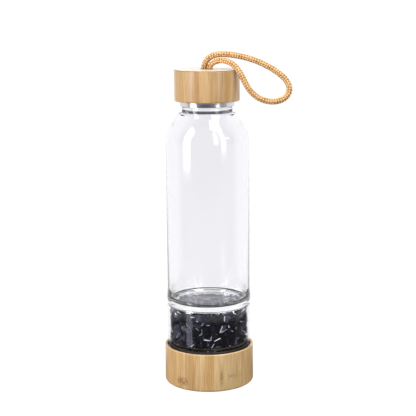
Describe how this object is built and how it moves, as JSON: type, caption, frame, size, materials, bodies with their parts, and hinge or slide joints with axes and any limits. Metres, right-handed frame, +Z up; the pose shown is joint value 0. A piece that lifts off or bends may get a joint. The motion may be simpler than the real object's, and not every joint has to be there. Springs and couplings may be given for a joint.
{
  "type": "glass water bottle",
  "caption": "Clear glass water bottle with a gemstone chamber, screw-on bamboo base cup, bamboo screw lid and a braided carry cord.",
  "frame": {"origin": "centre of the underside of the bamboo base, on the surface that the bottle stands on", "axes": "+Z up the bottle's axis, +X to the side that the carry loop leans to, -Y to the side that the picture shows"},
  "size_m": [0.1002, 0.0704, 0.2624],
  "materials": {
    "bamboo": "satin lacquered laminated bamboo",
    "black_plastic": "satin moulded",
    "black_rubber": "matte",
    "clear_glass": "clear borosilicate",
    "black_stone": "polished chips",
    "pale_silicone": "translucent",
    "white_plastic": "moulded",
    "steel": "polished",
    "cord_braid": "round braided cord"
  },
  "bodies": {
    "base": {"base_shell": "bamboo", "base_liner": "black_plastic"},
    "base_seal": {"base_gasket": "black_rubber"},
    "bottle": {"glass_body": "clear_glass", "gem_chips": "black_stone"},
    "lid_seal": {"lid_gasket": "pale_silicone"},
    "lid": {"lid_shell": "bamboo", "lid_liner": "steel", "lid_insert": "white_plastic", "cord_knot": "cord_braid", "carry_cord": "cord_braid"}
  },
  "joints": [
    {"name": "bottle_turn", "type": "hinge", "parent": "base", "child": "base_seal", "pos_m": [0, 0, 0.031], "axis": [0, 0, 1], "range_deg": [0, 540]},
    {"name": "bottle_rise", "type": "slide", "parent": "base_seal", "child": "bottle", "axis": [0, 0, 1], "range_m": [0, 0.00601]},
    {"name": "lid_rise", "type": "slide", "parent": "bottle", "child": "lid_seal", "axis": [0, 0, 1], "range_m": [0, 0.00601]},
    {"name": "lid_turn", "type": "hinge", "parent": "lid_seal", "child": "lid", "pos_m": [0, 0, 0.233], "axis": [0, 0, 1], "range_deg": [0, 540]}
  ],
  "couplings": [
    {"joint": "bottle_rise", "follows": "bottle_turn", "m_per_rad": 0.00063662},
    {"joint": "lid_rise", "follows": "lid_turn", "m_per_rad": 0.00063662}
  ]
}
